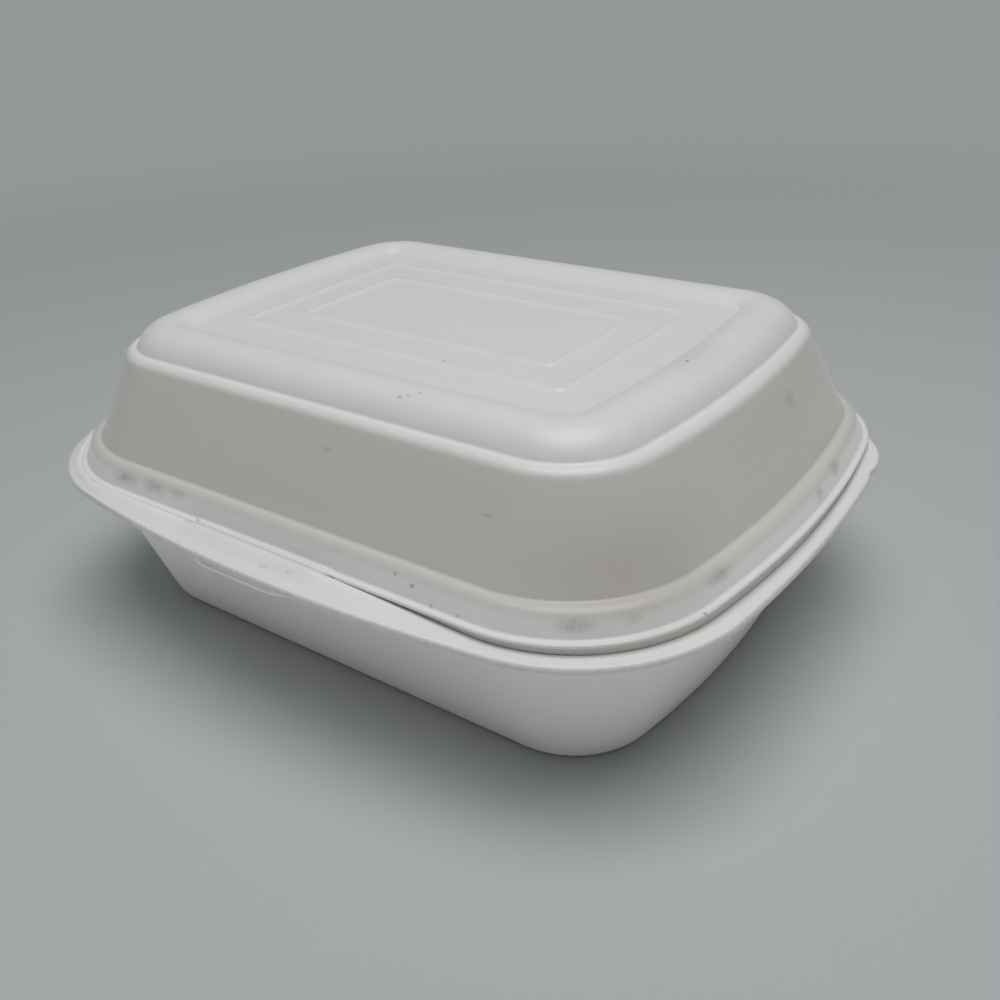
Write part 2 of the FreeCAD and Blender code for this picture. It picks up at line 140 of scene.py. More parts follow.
@dataclass(frozen=True)
class Loop:
    """How many points each stretch of an outline gets, the same on every level of a shell.

    Attributes:
        front: fractions along the front line, from left to right, without its right end.
        corner: points on each corner.
        side: points on each short side.
        back: points on the back line.
    """

    front: tuple[float, ...]
    corner: int = 26
    side: int = 30
    back: int = 36

    @classmethod
    def even(cls, steps: int, **counts: int) -> "Loop":
        """A loop with an evenly divided front."""
        return cls(tuple(step / steps for step in range(steps)), **counts)

    def count(self) -> int:
        """Points on one whole outline."""
        return len(self.front) + 4 * self.corner + 2 * self.side + self.back

    def points(self, knee: "Knee") -> np.ndarray:
        """Points of a round-cornered rectangle whose short sides are large arcs.

        Args:
            knee: the outline's sizes.

        Returns:
            An array of X and Y, anticlockwise from the left end of the front.
        """
        corner, sweep = knee.corner, knee.sweep
        side_x, corner_x, corner_y = knee.length - sweep, knee.corner_x, knee.width - corner
        turn = math.atan2(corner_y, corner_x - side_x)
        quarter = math.pi / 2
        front = np.array(self.front)
        back = np.arange(self.back) / self.back
        front_line = np.stack([corner_x * (2 * front - 1), np.full(len(front), -knee.width)], axis=1)
        back_line = np.stack([corner_x * (1 - 2 * back), np.full(self.back, knee.width)], axis=1)
        right = np.concatenate(
            [
                arc(corner_x, -corner_y, corner, -quarter, -turn, self.corner),
                arc(side_x, 0.0, sweep, -turn, turn, self.side),
                arc(corner_x, corner_y, corner, turn, quarter, self.corner),
            ]
        )
        return np.concatenate([front_line, right, back_line, -right])


@dataclass(frozen=True)
class Knee:
    """One corner of a shell's section, and the outline that the shell has there.

    Attributes:
        width: half width of the outline.
        level: height.
        length: half length of the outline.
        corner: corner radius of the outline.
        sweep: radius of the outline's short sides.
        bend: rounding of the section at this corner.
    """

    width: float
    level: float
    length: float
    corner: float
    sweep: float
    bend: float = 0.0

    def moved(self, inwards: float, level: float, bend: float = 0.0) -> "Knee":
        """Moves the outline inwards all the way round, to another height.

        Args:
            inwards: how far.
            level: the new height.
            bend: rounding of the section at the new knee.

        Returns:
            The new knee.
        """
        width, length = self.width - inwards, self.length - inwards
        return Knee(width, level, length, self.corner - inwards, self.sweep - inwards, bend)

    @property
    def corner_x(self) -> float:
        """Where the straight part of the front ends and the corners' middles lie."""
        rise = self.width - self.corner
        return self.length - self.sweep + math.sqrt((self.sweep - self.corner) ** 2 - rise**2)

    def outline(self, loop: Loop) -> np.ndarray:
        """Points of the outline, with X, Y and Z."""
        flat = loop.points(self)
        return np.column_stack([flat, np.full(len(flat), self.level)])


LIP = Knee(70.1, 0.0, 90.9, 36.0, 237.0)


class Section:
    """A run of knees across a shell, which turns into a stack of outlines."""

    # Longest stretch without a station, and the steps round a bend, along it and by its turn.
    span = 4.0
    bend_step = 0.7
    turn_step = 0.2
    smallest_bend = 0.4
    # Two bends may take up this part of the stretch between them.
    bent_part = 0.98
    straight_turn = 0.01
    same_place = 1e-6

    def __init__(self, knees: list[Knee]) -> None:
        """Keeps the knees in order, from one edge of the surface to the other."""
        self.knees = knees

    def shifted(self, foam: float) -> "Section":
        """The face on the inner side of the foam, a constant thickness away.

        Args:
            foam: thickness.

        Returns:
            The section of the inner face, with its corners mitred and their bends changed to suit.
        """
        places = np.array([[knee.width, knee.level] for knee in self.knees])
        ways, normals = ways_and_normals(np.diff(places, axis=0))
        moved = []
        for index, knee in enumerate(self.knees):
            before = normals[max(index - 1, 0)]
            after = normals[min(index, len(normals) - 1)]
            shift = (before + after) * foam / (1 + float(before @ after))
            turn = ways[max(index - 1, 0)]
            onwards = ways[min(index, len(ways) - 1)]
            left_turn = turn[0] * onwards[1] - turn[1] * onwards[0]
            bend = knee.bend
            if bend > 0:
                bend = max(bend - foam, self.smallest_bend) if left_turn > 0 else bend + foam
            moved.append(knee.moved(-float(shift[0]), knee.level + float(shift[1]), bend))
        return Section(moved)

    def stations(self) -> np.ndarray:
        """Rounds the knees and divides the long stretches.

        Returns:
            Rows of width, level, length, corner and sweep.
        """
        # Between knees, length and corner follow the width, and the sweep changes by its curvature.
        raw = np.array(
            [[k.width, k.level, k.length - k.width, k.corner - k.width, 1 / k.sweep] for k in self.knees]
        )
        gaps = np.linalg.norm(np.diff(raw[:, :2], axis=0), axis=1)
        turns, reaches = self.bends(raw, gaps)
        rows: list[np.ndarray] = []

        def add(row: np.ndarray) -> None:
            """Appends a row, after the rows that divide the stretch up to it."""
            if rows:
                gap = float(np.linalg.norm(row[:2] - rows[-1][:2]))
                if gap < self.same_place:
                    return
                start, pieces = rows[-1], int(gap // self.span) + 1
                for piece in range(1, pieces):
                    rows.append(start + (row - start) * piece / pieces)
            rows.append(row)

        for index, here in enumerate(raw):
            turn, reach = turns[index], reaches[index]
            if reach <= 0:
                add(here)
                continue
            back = (raw[index - 1] - here) / gaps[index - 1]
            onwards = (raw[index + 1] - here) / gaps[index]
            start, end = here + back * reach, here + onwards * reach
            radius = reach / math.tan(turn / 2)
            middle = back[:2] + onwards[:2]
            centre = here[:2] + middle / np.linalg.norm(middle) * radius / math.cos(turn / 2)
            steps = max(3, math.ceil(turn / self.turn_step), math.ceil(radius * turn / self.bend_step))
            spoke = start[:2] - centre
            sign = math.copysign(1.0, spoke[0] * (end - start)[1] - spoke[1] * (end - start)[0])
            for step in range(steps + 1):
                along = step / steps
                angle = sign * turn * along
                row = (1 - along) ** 2 * start + 2 * along * (1 - along) * here + along**2 * end
                row[0] = centre[0] + spoke[0] * math.cos(angle) - spoke[1] * math.sin(angle)
                row[1] = centre[1] + spoke[0] * math.sin(angle) + spoke[1] * math.cos(angle)
                add(row)
        table = np.array(rows)
        table[:, 2:4] += table[:, :1]
        table[:, 4] = 1 / table[:, 4]
        return table

    def bends(self, raw: np.ndarray, gaps: np.ndarray) -> tuple[np.ndarray, np.ndarray]:
        """How far the section turns at each knee, and how far from it the rounding starts.

        Args:
            raw: the knees' widths and levels in the first two columns.
            gaps: distances between neighbouring knees.

        Returns:
            The turns in radians and the reaches, which never overlap on a stretch.
        """
        turns = np.zeros(len(raw))
        reaches = np.zeros(len(raw))
        for index in range(1, len(raw) - 1):
            back = (raw[index, :2] - raw[index - 1, :2]) / gaps[index - 1]
            onwards = (raw[index + 1, :2] - raw[index, :2]) / gaps[index]
            turns[index] = math.acos(float(np.clip(back @ onwards, -1, 1)))
            if turns[index] > self.straight_turn:
                reaches[index] = max(self.knees[index].bend, 0.0) * math.tan(turns[index] / 2)
        for index, gap in enumerate(gaps):
            both = reaches[index] + reaches[index + 1]
            if both > self.bent_part * gap:
                reaches[index : index + 2] *= self.bent_part * gap / both
        return turns, reaches

    def loops(self, loop: Loop) -> list[np.ndarray]:
        """Outlines of the surface, one for each station, as arrays of X, Y and Z."""
        return [Knee(*station).outline(loop) for station in self.stations()]


@dataclass(frozen=True)
class Slit:
    """A slit through a shell.

    Attributes:
        near: number of the loop along its inner side, on the face that comes first. The next loop lies
            along its outer side.
        far: number of the loop along its inner side, on the other face. The loop before lies along its
            outer side.
        start: number of the point at its first end.
        end: number of the point at its other end.
    """

    near: int
    far: int
    start: int
    end: int


def add_object(name: str, data: bpy.types.ID) -> bpy.types.Object:
    """Makes an object of a mesh, lamp or camera and puts it in the scene."""
    made = bpy.data.objects.new(name, data)
    bpy.context.scene.collection.objects.link(made)
    return made


class ShellMesh:
    """Vertices and faces of a closed skin made of loops with the same number of points."""

    def __init__(self, loops: list[np.ndarray]) -> None:
        """Starts with its first loops."""
        self.loops: list[np.ndarray] = []
        self.finishes: list[int] = []
        self.add(loops)

    def add(self, loops: list[np.ndarray], finish: Finish = Finish.SKIN) -> None:
        """Adds loops, and the finish of the bands that lead to them."""
        self.loops += loops
        self.finishes += [finish.value] * len(loops)

    def build(self, name: str, slit: Slit | None = None) -> bpy.types.Object:
        """Makes the object.

        Args:
            name: the piece's name.
            slit: where a slit goes through it.

        Returns:
            The object, with smooth faces and closed ends.
        """
        count = len(self.loops[0])
        last = len(self.loops) - 1
        faces: list[tuple[int, ...]] = []
        finishes: list[int] = []

        def quad(low: int, high: int, point: int) -> tuple[int, ...]:
            """Face between two loops, from a point to the next."""
            ahead = (point + 1) % count
            return (low * count + point, low * count + ahead, high * count + ahead, high * count + point)

        for index in range(last):
            for point in range(count):
                cut = slit and index in (slit.near, slit.far - 1) and slit.start <= point < slit.end
                if not cut:
                    faces.append(quad(index, index + 1, point))
                    finishes.append(self.finishes[index + 1])
        faces.append(tuple(reversed(range(count))))
        finishes.append(self.finishes[0])
        faces.append(tuple(range(last * count, (last + 1) * count)))
        finishes.append(self.finishes[last])
        if slit:
            stretch = range(slit.start, slit.end)
            walls = [quad(slit.near, slit.far, point)[::-1] for point in stretch]
            walls += [quad(slit.near + 1, slit.far - 1, point) for point in stretch]
            around = (slit.near, slit.near + 1, slit.far - 1, slit.far)
            walls.append(tuple(loop * count + slit.start for loop in around))
            walls.append(tuple(loop * count + slit.end for loop in reversed(around)))
            faces += walls
            finishes += [Finish.CUT.value] * len(walls)
        mesh = bpy.data.meshes.new(name)
        mesh.from_pydata([tuple(place * MM) for place in np.concatenate(self.loops)], [], faces)
        mesh.polygons.foreach_set("material_index", finishes)
        mesh.polygons.foreach_set("use_smooth", [True] * len(faces))
        mesh.update()
        mesh.validate()
        return add_object(name, mesh)


def read_places(made: bpy.types.Object, loops: int) -> np.ndarray:
    """Places of a shell's vertices in millimetres, loop by loop.

    Args:
        made: the shell.
        loops: how many loops it has.

    Returns:
        An array of loops, points and X, Y and Z.
    """
    places = np.empty(len(made.data.vertices) * 3)
    made.data.vertices.foreach_get("co", places)
    return places.reshape(loops, -1, 3) / MM


def write_places(made: bpy.types.Object, places: np.ndarray) -> None:
    """Moves a shell's vertices to places in millimetres."""
    made.data.vertices.foreach_set("co", (places * MM).reshape(-1))
    made.data.update()


def smooth_step(value: np.ndarray, start: float, end: float) -> np.ndarray:
    """Goes smoothly from 0 where the value is start to 1 where it is end."""
    part = np.clip((value - start) / (end - start), 0.0, 1.0)
    return part * part * (3 - 2 * part)


def gaping(places: np.ndarray) -> np.ndarray:
    """How far the lid stands off the rim, from 0 at the left to 1 at the near right corner.

    Args:
        places: points, with X and Y first.

    Returns:
        A part between 0 and 1 for each point.
    """
    sideways = smooth_step(places[..., 0] / LIP.length, *GAP_ALONG)
    return sideways * (1 - GAP_LOSS * smooth_step(places[..., 1] / LIP.width, *GAP_ACROSS))


def seated(places: np.ndarray) -> np.ndarray:
    """How close the lid's lip lies on the rim: 1 at the left and along the lock, 0 at the right."""
    return 1 - smooth_step(places[..., 0] / LIP.length, *SEAT_ALONG)


# Finishes


COLOURS = {"data_type": "RGBA"}
SMOOTH = {"interpolation_type": "SMOOTHSTEP"}
MULTIPLY = {"operation": "MULTIPLY"}
MULTIPLY_ADD = {"operation": "MULTIPLY_ADD"}


def empty_tree(owner: bpy.types.Material | bpy.types.World) -> bpy.types.NodeTree:
    """Node tree of a material or world, without its first nodes."""
    owner.use_nodes = True
    owner.node_tree.nodes.clear()
    return owner.node_tree


def add_node(
    tree: bpy.types.NodeTree, kind: str, settings: dict[str, object] | None = None, **inputs: object
) -> bpy.types.Node:
    """Adds a shader node with its settings, values and links.

    Args:
        tree: the material's node tree.
        kind: the node's type name after "ShaderNode".
        settings: attributes of the node to set.
        **inputs: values for its sockets, or sockets of other nodes to link, or other nodes for their
            first sockets. A name with underscores stands for the socket's name with spaces, and in_0
            for the first socket by number.

    Returns:
        The new node.
    """
    node = tree.nodes.new("ShaderNode" + kind)
    for name, value in (settings or {}).items():
        setattr(node, name, value)
    for name, value in inputs.items():
        if isinstance(value, bpy.types.Node):
            value = value.outputs[0]
        key: object = int(name[3:]) if name.startswith("in_") else name.replace("_", " ")
        if isinstance(value, bpy.types.NodeSocket):
            tree.links.new(value, node.inputs[key])
        else:
            node.inputs[key].default_value = value
    return node


def millimetre_place(tree: bpy.types.NodeTree) -> bpy.types.NodeSocket:
    """Place on the object in millimetres, so that one over a real size is a pattern's scale."""
    place = add_node(tree, "TexCoord").outputs["Object"]
    return add_node(tree, "VectorMath", {"operation": "SCALE"}, Vector=place, Scale=1 / MM).outputs["Vector"]


@dataclass(frozen=True)
class SmudgeOrShade:
    """A patch of colour: a mark left by handling, and in one place a patch of painted shade.

    Attributes:
        place: its middle, in millimetres.
        reach: how far it spreads along X, Y and Z.
        strength: how much of the mark's colour shows.
        grain: size of its flecks.
        even: the part of it that shows between the flecks too.
        colour: colour of the dirt, and of the shade where the patch is painted shade.
    """

    place: Place
    reach: Place
    strength: float = 0.5
    grain: float = 0.9
    even: float = 0.4
    colour: str = "77757A"


@dataclass(frozen=True)
class PressedFoam:
    """Expanded polystyrene sheet, thermoformed: closed pearly skin over fine cells.

    The hot press flattens the outer cells into a satin skin, so the eye sees a white with a soft wide
    sheen, a very fine grain and faint clouds where cells were larger.

    Attributes:
        name: material name.
        colour: colour of the skin.
        cloud: colour of the faint clouds.
        roughness: of the skin.
        grain_mm: width of a cell in the skin.
        cloud_mm: width of a cloud.
        grain_depth_mm: height of the grain.
        wall_shade: darker colour of the steep walls, painted shade where the light from above falls on them
            less.
        wall_shade_from: height where the painted wall shade starts, in millimetres.
        wall_shade_to: height where it ends.
        wall_shade_blend: half the height over which its colour comes in.
        marks_and_shade: handling marks, and patches of painted shade among them.
    """

    name: str
    colour: str = "EFEEEC"
    cloud: str = "E9E9E9"
    roughness: float = 0.35
    grain_mm: float = 0.55
    cloud_mm: float = 9.0
    grain_depth_mm: float = 0.02
    wall_shade: str = "D4D3CE"
    wall_shade_from: float = 44.6
    wall_shade_to: float = 65.6
    wall_shade_blend: float = 0.9
    marks_and_shade: tuple[SmudgeOrShade, ...] = ()

    def make(self) -> bpy.types.Material:
        """Builds the material.

        Returns:
            The material, with its nodes linked.
        """
        material = bpy.data.materials.new(self.name)
        tree = empty_tree(material)
        place = millimetre_place(tree)
        grain = add_node(tree, "TexNoise", Vector=place, Scale=1 / self.grain_mm, Detail=3.0, Roughness=0.6)
        cells = add_node(tree, "TexVoronoi", Vector=place, Scale=0.7 / self.grain_mm)
        clouds = add_node(tree, "TexNoise", Vector=place, Scale=1 / self.cloud_mm, Detail=4.0, Roughness=0.55)
        cloud_part = add_node(tree, "MapRange", Value=clouds, From_Min=0.38, From_Max=0.72, To_Max=0.6)
        skin = add_node(
            tree, "Mix", COLOURS, in_0=cloud_part, in_6=linear_colour(self.colour),
            in_7=linear_colour(self.cloud),
        ).outputs[2]
        # Painted shade: between two heights the steep walls take a darker colour, in place of the shade that
        # the light from above leaves on them; thin is the part of that painted shade.
        height = add_node(tree, "SeparateXYZ", Vector=place).outputs["Z"]
        ends = ((self.wall_shade_from, self.wall_shade_blend), (self.wall_shade_to, -self.wall_shade_blend))
        above, below = (
            add_node(tree, "MapRange", SMOOTH, Value=height, From_Min=level - blend, From_Max=level + blend)
            for level, blend in ends
        )
        thin = add_node(tree, "Math", MULTIPLY, in_0=above, in_1=below)
        walls = add_node(
            tree, "Mix", COLOURS, in_0=thin, in_6=skin, in_7=linear_colour(self.wall_shade)
        ).outputs[2]
        colour = self.marked_and_shaded(tree, place, walls)
        roughness = add_node(
            tree, "MapRange", Value=grain, From_Min=0.3, From_Max=0.7, To_Min=self.roughness - 0.05,
            To_Max=self.roughness + 0.07,
        )
        relief = add_node(tree, "Math", MULTIPLY_ADD, in_0=cells, in_1=0.5, in_2=grain)
        fine = add_node(tree, "Bump", Strength=0.55, Distance=self.grain_depth_mm * MM, Height=relief)
        shader = add_node(
            tree, "BsdfPrincipled", Base_Color=colour, Roughness=roughness, IOR=1.45,
            Specular_IOR_Level=0.55, Normal=fine,
        )
        add_node(tree, "OutputMaterial", Surface=shader)
        return material

    def marked_and_shaded(
        self, tree: bpy.types.NodeTree, place: bpy.types.NodeSocket, skin: bpy.types.NodeSocket
    ) -> bpy.types.NodeSocket:
        """Lays the handling marks and the patches of painted shade over the skin's colour.

        Args:
            tree: the material's node tree.
            place: place on the object, in millimetres.
            skin: the clean colour.

        Returns:
            The colour with the marks and the painted shade.
        """
        colour = skin
        for patch in self.marks_and_shade:
            away = add_node(tree, "VectorMath", {"operation": "SUBTRACT"}, in_0=place, in_1=patch.place)
            spread = add_node(tree, "VectorMath", {"operation": "DIVIDE"}, in_0=away, in_1=patch.reach)
            reach = add_node(tree, "VectorMath", {"operation": "LENGTH"}, in_0=spread)
            fade = add_node(tree, "MapRange", SMOOTH, Value=reach.outputs["Value"], To_Min=1.0, To_Max=0.0)
            flecks = add_node(
                tree, "TexNoise", Vector=place, Scale=1 / patch.grain, Detail=5.0, Roughness=0.7
            )
            fleck_part = add_node(
                tree, "MapRange", Value=flecks, From_Min=0.44, From_Max=0.66,
                To_Min=patch.strength * patch.even, To_Max=patch.strength,
            )
            part = add_node(tree, "Math", MULTIPLY, in_0=fade, in_1=fleck_part)
            colour = add_node(
                tree, "Mix", COLOURS, in_0=part, in_6=colour, in_7=linear_colour(patch.colour)
            ).outputs[2]
        return colour


@dataclass(frozen=True)
class CutFoam:
    """The same foam where the trimming knife went through it: open cells, matt, slightly grey; part of the
    grey is painted shade on edges that face sideways.

    Attributes:
        name: material name.
        colour: colour of the cut, darkened partly as painted shade.
        pit: colour in the open cells.
        cell_mm: width of a cell.
        depth_mm: depth of the cells.
    """

    name: str
    colour: str = "E0DEDB"
    pit: str = "CFCCC9"
    cell_mm: float = 0.3
    depth_mm: float = 0.012

    def make(self) -> bpy.types.Material:
        """Builds the material.

        Returns:
            The material, with its nodes linked.
        """
        material = bpy.data.materials.new(self.name)
        tree = empty_tree(material)
        place = millimetre_place(tree)
        cells = add_node(tree, "TexVoronoi", Vector=place, Scale=1 / self.cell_mm)
        streaks = add_node(
            tree, "TexNoise", Vector=place, Scale=0.35 / self.cell_mm, Detail=5.0, Roughness=0.65
        )
        part = add_node(tree, "MapRange", Value=streaks, From_Min=0.45, From_Max=0.75, To_Max=0.9)
        # Both colours of the cut are a little darker than the skin: partly the open cells' own tone, partly
        # painted shade for edges that face sideways and get less of the light from above.
        colour = add_node(
            tree, "Mix", COLOURS, in_0=part, in_6=linear_colour(self.colour), in_7=linear_colour(self.pit)
        )
        relief = add_node(tree, "Math", MULTIPLY_ADD, in_0=cells, in_1=-0.6, in_2=streaks)
        rough = add_node(tree, "Bump", Strength=0.7, Distance=self.depth_mm * MM, Height=relief)
        shader = add_node(
            tree, "BsdfPrincipled", Base_Color=colour.outputs[2], Roughness=0.7, IOR=1.45,
            Specular_IOR_Level=0.3, Normal=rough,
        )
        add_node(tree, "OutputMaterial", Surface=shader)
        return material


# The lid


@dataclass
class Lid:
    """Lid: pressed lip, skirt, two ledges, tapered wall, round ring and a sunk panel with two ribs."""

    lip: Knee = LIP
    lip_thickness: float = 0.9
    lip_width: float = 1.5
    lip_round: float = 0.35
    skirt_top: float = 5.9
    skirt_draft: float = 2.1
    skirt_bend: float = 0.7
    ledge_bend: float = 2.6
    wall: Knee = Knee(64.3, 5.9, 84.4, 30.2, 251.0, 0.9)
    wall_draft: float = 10.3
    wall_top: float = 26.9
    ring: Knee = Knee(51.8, 26.9, 71.2, 17.0, 280.0, 0.8)
    ring_draft: float = 2.5
    ring_top: float = 32.2
    ring_bend: float = 8.4
    panel: Knee = Knee(38.6, 30.45, 57.4, 3.8, 280.0, 1.2)
    panel_slope: float = 2.5
    panel_bend: float = 8.0
    rib_height: float = 0.35
    rib_foot: float = 0.95
    rib_crown: float = 0.3
    rib_corner: float = 1.4
    rib_bend: float = 0.5
    outer_rib: Pair = (46.0, 27.9)
    inner_rib: Pair = (36.4, 17.1)
    # The lip's edge as insets and heights: its skin, then the band that the knife left.
    lip_edge: Points = ((0.12, 0.78), (0.0, 0.5), (0.12, 0.2), (0.5, 0.04))
    lip_band: Points = ((0.62, 0.02), (0.9, 0.0))
    # How the lip lies on the rim: lifted and hanging low at the right, pressed thin at the left.
    lip_lift: float = 0.8
    lift_fade: float = 0.6
    # The near corner stays down: the lid lifts behind it, between these parts of its half width.
    lift_across: Pair = (-0.95, -0.35)
    band_drop: float = 1.52
    lip_thinning: float = 0.45
    loop: Loop = Loop.even(44)

    def rib_knees(self, rib: Pair) -> list[Knee]:
        """Section across one embossed rectangle, from outside to inside.

        Args:
            rib: half of its length and half of its width.

        Returns:
            The knees at its outer foot, its crown's two sides and its inner foot.
        """
        length, width = rib
        middle = Knee(width, self.panel.level, length, self.rib_corner, STRAIGHT)
        crown = self.panel.level + self.rib_height
        return [
            middle.moved(-self.rib_foot, self.panel.level, self.rib_bend),
            middle.moved(-self.rib_crown, crown, self.rib_bend),
            middle.moved(self.rib_crown, crown, self.rib_bend),
            middle.moved(self.rib_foot, self.panel.level, self.rib_bend),
        ]

    def section(self) -> Section:
        """Follows the outer face.

        Returns:
            Its section, from the lip's top to the middle of the panel.
        """
        lip_top = self.lip.moved(self.lip_round, self.lip_thickness)
        skirt_foot = self.lip.moved(self.lip_width, self.lip_thickness, self.skirt_bend)
        skirt_top = skirt_foot.moved(self.skirt_draft, self.skirt_top, self.ledge_bend)
        wall_top = self.wall.moved(self.wall_draft, self.wall_top, self.ledge_bend)
        ring_top = self.ring.moved(self.ring_draft, self.ring_top, self.ring_bend)
        panel_top = self.panel.moved(-self.panel_slope, self.ring_top, self.panel_bend)
        sides = [lip_top, skirt_foot, skirt_top, self.wall, wall_top, self.ring, ring_top, panel_top]
        ribs = self.rib_knees(self.outer_rib) + self.rib_knees(self.inner_rib)
        # A small outline closes the panel in the middle.
        middle = Knee(3.0, self.panel.level, 20.0, self.rib_corner, STRAIGHT)
        return Section([*sides, self.panel, *ribs, middle])

    def build(self) -> bpy.types.Object:
        """Makes the lid's skin, outside and inside, closed along the lip.

        Returns:
            The lid, in its place on the tray.
        """
        outer = self.section()
        inner = Section(outer.knees[1:]).shifted(WALL_FOAM)
        foot, above = inner.knees[0], inner.knees[1]
        part = foot.level / (above.level - foot.level)
        inner.knees[0] = foot.moved(part * (above.width - foot.width), 0.0, 1.0)
        shell = ShellMesh(outer.loops(self.loop)[::-1])
        shell.add([self.lip.moved(*place).outline(self.loop) for place in self.lip_edge])
        band = len(shell.loops)
        shell.add([self.lip.moved(*place).outline(self.loop) for place in self.lip_band], Finish.CUT)
        band_end = len(shell.loops)
        shell.add(inner.loops(self.loop))
        made = shell.build("lid_shell")
        places = read_places(made, len(shell.loops))
        fade = 1 - smooth_step(places[..., 2], 0.0, self.skirt_top - self.lift_fade)
        gap = gaping(places)
        rise = self.lip_lift * gap * smooth_step(places[..., 1] / self.lip.width, *self.lift_across)
        places[..., 2] += rise * fade
        low = slice(band, band_end)
        places[low, :, 2] -= rise[low] + self.band_drop * gap[low]
        under = slice(band - 1, band_end + 1)
        places[under, :, 2] += self.lip_thinning * seated(places[under])
        write_places(made, places + (0.0, MIDDLE_Y, LID_LEVEL))
        return made


# The tray


@dataclass
class Tray:
    """Tray: foot ring, tapered wall, stacking ledge, collar and a wide pressed rim with the lock's slit."""

    lip: Knee = LIP
    collar_inset: float = 2.5
    collar_under: float = 31.9
    collar_draft: float = 1.6
    collar_bend: float = 1.2
    ledge: float = 1.6
    ledge_bend: float = 0.9
    wall_draft: float = 11.0
    foot_bend: float = 3.5
    foot_ring: float = 12.0
    foot_recess: float = 1.2
    recess_slope: float = 1.2
    small_bend: float = 1.0
    mouth_bend: float = 1.3
    rim_front: float = 77.8
    rim_length: float = 93.7
    rim_back: float = 55.8
    rim_front_radius: float = 355.0
    rim_side_radius: float = 350.0
    rim_front_corner: float = 40.0
    rim_back_corner: float = 23.6
    hinge_back: float = 71.6
    hinge_half: float = 54.0
    slit_left: float = -24.4
    slit_right: float = 19.6
    slit_inner: float = 68.3
    slit_outer: float = 70.4
    strip_width: float = 5.2
    strip_lift: float = 0.9
    strip_ramp: float = 6.5
    # The ramps of the lifted strip start this far inside the slit's ends.
    ramp_inset: float = 5.0
    rise_left: float = 0.25
    dish: float = 1.05
    sag_right: float = 1.25
    tilt_power: float = 1.5
    # Where the rise and the dish at the left come in, as parts of a half length or the rim's width.
    rise_along: Pair = (-0.6, 0.1)
    dish_start: Pair = (-0.5, 0.05)
    dish_end: Pair = (0.1, 0.85)
    narrowest: float = 0.3
    last_inset: float = 0.6
    chip: Pair = (92.6, 31.5)
    chip_reach: float = 3.2
    chip_depth: float = 0.9
    chip_drop: float = 0.5
    # Loops along the rim, outwards from the slit's outer side.
    rim_steps: tuple[float, ...] = (1.0, 2.2, 3.6, 5.4)
    # The rim's edge as insets and heights, above its underside and below its top.
    edge_under: Points = ((0.12, 0.15), (0.0, 0.5))
    edge_top: Points = ((0.0, 0.55), (0.12, 0.18), (0.4, 0.0))
    edge_foot: float = 0.45
    # Points of a loop beside the slit, along it, and over which the strip's even width fades out.
    points_beside: int = 14
    points_along: int = 30
    points_fade: int = 14
    line_steps: int = 60

    def loop(self) -> Loop:
        """Divides the front so that points fall on both ends of the slit.

        Returns:
            The counts of points for all of the tray's outlines.
        """
        straight = self.lip.corner_x
        left = (self.slit_left + straight) / (2 * straight)
        right = (self.slit_right + straight) / (2 * straight)
        beside, along = self.points_beside, self.points_along
        stretches = ((0.0, left, beside), (left, right, along), (right, 1.0, beside))
        fractions = [
            low + (high - low) * step / steps for low, high, steps in stretches for step in range(steps)
        ]
        return Loop(tuple(fractions), corner=40, side=34, back=40)

    def section(self) -> Section:
        """Follows the outer face.

        Returns:
            Its section, from the middle of the floor to the underside of the rim.
        """
        collar = self.lip.moved(self.collar_inset, RIM_TOP)
        collar_foot = collar.moved(self.collar_draft, self.collar_under, self.collar_bend)
        wall_top = collar_foot.moved(self.ledge, self.collar_under, self.ledge_bend)
        foot = wall_top.moved(self.wall_draft, 0.0, self.foot_bend)
        ring_inner = foot.moved(self.foot_ring, 0.0, self.small_bend)
        recess = ring_inner.moved(self.recess_slope, self.foot_recess, self.small_bend)
        # A small outline closes the floor in the middle.
        middle = Knee(6.0, self.foot_recess, 24.0, 2.0, 300.0)
        part = (RIM_UNDER - self.collar_under) / (RIM_TOP - self.collar_under)
        neck = collar_foot.moved(-self.collar_draft * part, RIM_UNDER, self.small_bend)
        return Section([middle, recess, ring_inner, foot, wall_top, collar_foot, neck])

    def rim_edge(self, loop: Loop) -> tuple[np.ndarray, np.ndarray, np.ndarray]:
        """Finds where the rim ends, seen from the collar.

        Args:
            loop: how the outlines are divided.

        Returns:
            Points of the collar's outline, the ways outwards from them, and the distance to the rim's edge.
        """
        collar = self.lip.moved(self.collar_inset, 0.0)
        base = loop.points(collar)
        ways = loop.points(collar.moved(-1.0, 0.0)) - base
        ways /= np.linalg.norm(ways, axis=1)[:, None]
        edges = [self.rim_line(), self.lip_line(), self.hinge_line()]
        reach = [max(self.last_hit(start, way, line) for line in edges) for start, way in zip(base, ways)]
        return base, ways, np.array(reach)

    def rim_line(self) -> np.ndarray:
        """Joins the arcs of the wide rim's edge: front, corner, side and back corner.

        Returns:
            Corners of the closed line.
        """
        front_y = self.rim_front_radius - self.rim_front
        side_x = self.rim_length - self.rim_side_radius
        span = math.hypot(side_x, front_y)
        from_front = self.rim_front_radius - self.rim_front_corner
        from_side = self.rim_side_radius - self.rim_front_corner
        along = (from_front**2 - from_side**2 + span**2) / (2 * span)
        across = math.sqrt(from_front**2 - along**2)
        way = np.array([side_x, -front_y]) / span
        aside = np.array([-way[1], way[0]]) * across
        near = np.array([0.0, front_y]) + way * along + aside
        if near[0] < 0:
            near -= 2 * aside
        far_y = self.rim_back - self.rim_back_corner
        far_x = side_x + math.sqrt((self.rim_side_radius - self.rim_back_corner) ** 2 - far_y**2)
        front_turn = math.atan2(near[1] - front_y, near[0])
        side_start = math.atan2(near[1], near[0] - side_x)
        side_end = math.atan2(far_y, far_x - side_x)

